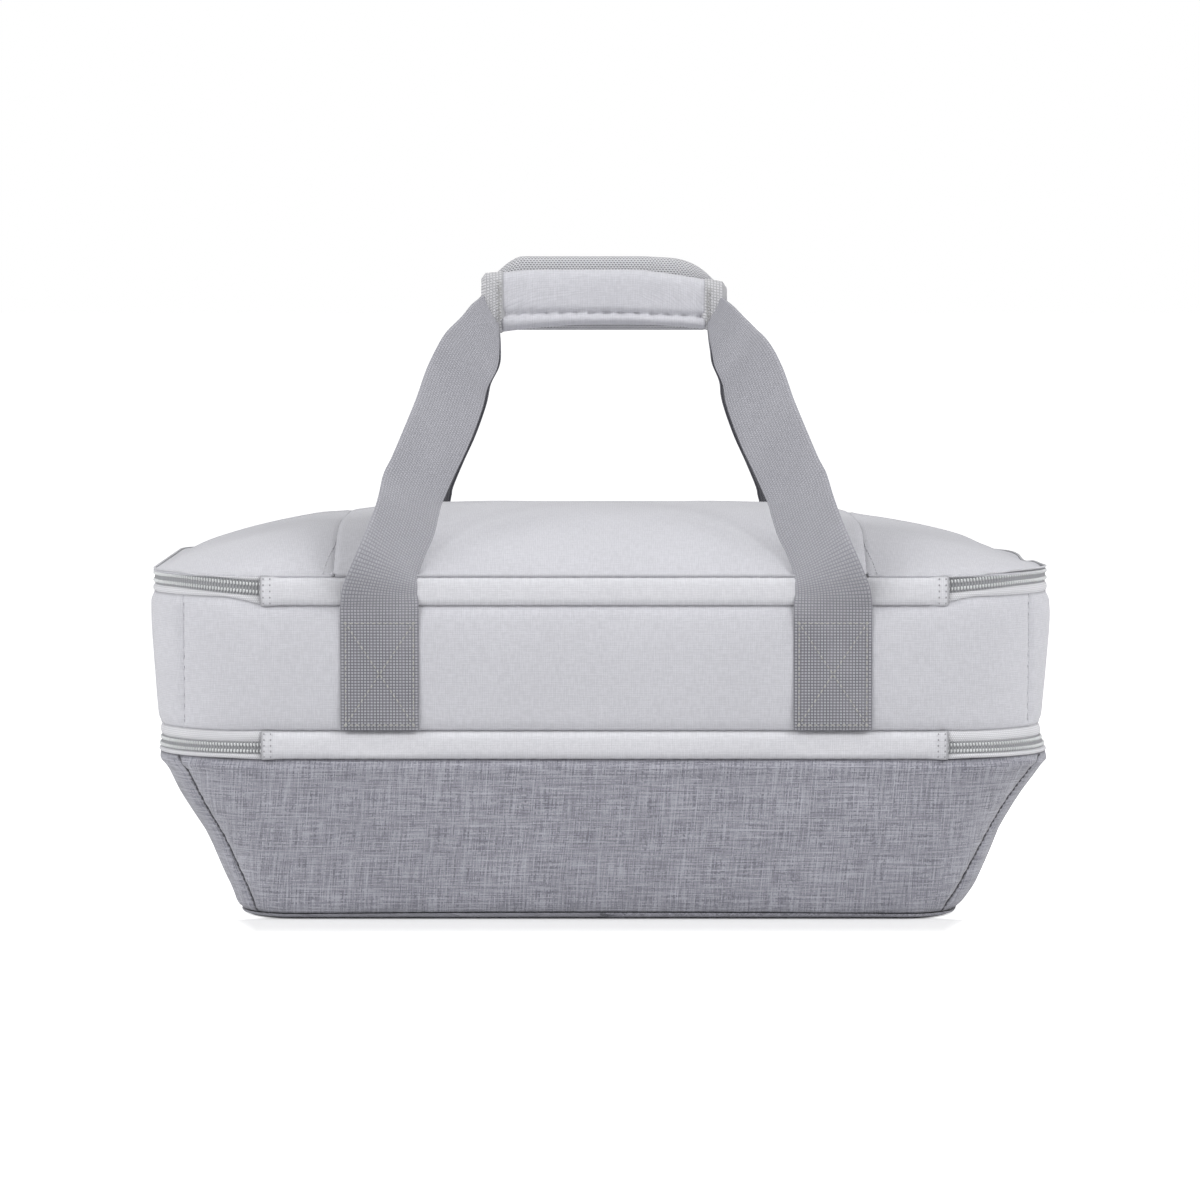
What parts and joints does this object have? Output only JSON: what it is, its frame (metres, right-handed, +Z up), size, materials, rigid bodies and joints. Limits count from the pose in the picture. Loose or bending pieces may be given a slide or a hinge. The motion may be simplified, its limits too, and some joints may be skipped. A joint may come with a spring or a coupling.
{
  "type": "casserole carrier",
  "caption": "Insulated two-deck casserole carrier: tapered base tray, zipped upper compartment with domed lid, and webbing handles that join in a padded grip.",
  "frame": {"origin": "on the floor, under the centre of the flat base panel", "axes": "+X to the right along the carrier's length as seen from the hinge side, +Y from the hinge side towards the side where the zip sliders meet, +Z up"},
  "size_m": [0.4408, 0.2922, 0.3227],
  "materials": {
    "heather_cloth": "woven heather grey linen-look cloth",
    "pale_cloth": "plain fine-weave light grey cloth",
    "webbing": "ribbed woven webbing",
    "spacer_mesh": "open knitted spacer mesh",
    "zip_tape": "woven tape and binding",
    "zip_coil": "nylon coil",
    "foam": "closed-cell foam",
    "foil_lining": "silver foil-faced lining",
    "stiff_board": "plain plastic board",
    "slider_metal": "satin grey",
    "pull": "moulded soft pull",
    "hook_and_loop": "hook-and-loop tape"
  },
  "bodies": {
    "base": {"base_bottom_panel": "heather_cloth", "base_back_panel": "heather_cloth", "base_front_panel": "heather_cloth", "base_left_panel": "heather_cloth", "base_right_panel": "heather_cloth", "base_board": "stiff_board", "base_foam": "foam", "base_lining": "foil_lining", "lower_zip_coil_base": "zip_coil", "lower_zip_tape_base": "zip_tape", "lower_hinge_strip": "pale_cloth"},
    "deck": {"wall_back_panel": "pale_cloth", "wall_front_panel": "pale_cloth", "wall_left_panel": "pale_cloth", "wall_right_panel": "pale_cloth", "deck_underside": "foil_lining", "deck_board": "stiff_board", "deck_foam": "foam", "deck_lining": "foil_lining", "lower_zip_coil_deck": "zip_coil", "lower_zip_tape_deck": "zip_tape", "upper_zip_coil_deck": "zip_coil", "upper_zip_tape_deck": "zip_tape", "upper_hinge_strip": "pale_cloth", "back_anchor_left": "webbing", "back_anchor_right": "webbing", "front_anchor_left": "webbing", "front_anchor_right": "webbing"},
    "lid": {"lid_middle_panel": "pale_cloth", "lid_left_panel": "pale_cloth", "lid_right_panel": "pale_cloth", "lid_foam": "foam", "lid_lining": "foil_lining", "upper_zip_coil_lid": "zip_coil", "upper_zip_tape_lid": "zip_tape"},
    "back_handle_root": {"back_root_left": "webbing", "back_root_right": "webbing"},
    "front_handle_root": {"front_root_left": "webbing", "front_root_right": "webbing"},
    "back_handle": {"back_leg_left": "webbing", "back_leg_right": "webbing", "back_grip_core": "webbing", "back_grip_pad": "pale_cloth", "back_grip_binding_left": "zip_tape", "back_grip_binding_right": "zip_tape", "back_grip_hook_patch": "hook_and_loop"},
    "front_handle": {"front_leg_left": "webbing", "front_leg_right": "webbing", "front_grip_core": "webbing", "front_grip_pad": "spacer_mesh", "front_grip_loop_patch": "hook_and_loop"},
    "lower_slider_left": {"lower_slider_left": "slider_metal"},
    "lower_pull_left": {"lower_pull_left": "pull"},
    "lower_slider_right": {"lower_slider_right": "slider_metal"},
    "lower_pull_right": {"lower_pull_right": "pull"},
    "upper_slider_left": {"upper_slider_left": "slider_metal"},
    "upper_pull_left": {"upper_pull_left": "pull"},
    "upper_slider_right": {"upper_slider_right": "slider_metal"},
    "upper_pull_right": {"upper_pull_right": "pull"}
  },
  "joints": [
    {"name": "deck_hinge", "type": "hinge", "parent": "base", "child": "deck", "pos_m": [0, -0.1405, 0.0863], "axis": [1, 0, 0], "range_deg": [0, 70], "deforming": ["lower_hinge_strip"]},
    {"name": "lid_hinge", "type": "hinge", "parent": "deck", "child": "lid", "pos_m": [0, -0.142, 0.16115], "axis": [1, 0, 0], "range_deg": [0, 100], "deforming": ["upper_hinge_strip"]},
    {"name": "back_handle_swing", "type": "hinge", "parent": "deck", "child": "back_handle_root", "pos_m": [0, -0.14455, 0.1446], "axis": [1, 0, 0], "range_deg": [0, 75]},
    {"name": "back_handle_drop", "type": "hinge", "parent": "back_handle_root", "child": "back_handle", "pos_m": [0, -0.14455, 0.1536], "axis": [-1, 0, 0], "range_deg": [-165, 0], "deforming": ["back_leg_left", "back_leg_right"]},
    {"name": "front_handle_swing", "type": "hinge", "parent": "deck", "child": "front_handle_root", "pos_m": [0, 0.14455, 0.1446], "axis": [1, 0, 0], "range_deg": [-150, 0]},
    {"name": "front_handle_drop", "type": "hinge", "parent": "front_handle_root", "child": "front_handle", "pos_m": [0, 0.14455, 0.1536], "axis": [1, 0, 0], "range_deg": [-165, 0], "deforming": ["front_leg_left", "front_leg_right"]},
    {"name": "lower_slider_left_slide", "type": "slide", "parent": "base", "child": "lower_slider_left", "axis": [-1, 0, 0], "range_m": [0, 0.147]},
    {"name": "lower_pull_left_swing", "type": "hinge", "parent": "lower_slider_left", "child": "lower_pull_left", "pos_m": [-0.007, 0.1442, 0.0863], "axis": [1, 0, 0], "range_deg": [0, 150]},
    {"name": "lower_slider_right_slide", "type": "slide", "parent": "base", "child": "lower_slider_right", "axis": [1, 0, 0], "range_m": [0, 0.147]},
    {"name": "lower_pull_right_swing", "type": "hinge", "parent": "lower_slider_right", "child": "lower_pull_right", "pos_m": [0.007, 0.1442, 0.0863], "axis": [1, 0, 0], "range_deg": [0, 150]},
    {"name": "upper_slider_left_slide", "type": "slide", "parent": "deck", "child": "upper_slider_left", "axis": [-1, 0, 0], "range_m": [0, 0.147]},
    {"name": "upper_pull_left_swing", "type": "hinge", "parent": "upper_slider_left", "child": "upper_pull_left", "pos_m": [-0.007, 0.1457, 0.16115], "axis": [1, 0, 0], "range_deg": [0, 150]},
    {"name": "upper_slider_right_slide", "type": "slide", "parent": "deck", "child": "upper_slider_right", "axis": [1, 0, 0], "range_m": [0, 0.147]},
    {"name": "upper_pull_right_swing", "type": "hinge", "parent": "upper_slider_right", "child": "upper_pull_right", "pos_m": [0.007, 0.1457, 0.16115], "axis": [1, 0, 0], "range_deg": [0, 150]}
  ],
  "couplings": [
    {"joint": "back_handle_swing", "follows": "lid_hinge", "ratio": 0.75},
    {"joint": "front_handle_swing", "follows": "lid_hinge", "ratio": -1.5}
  ]
}
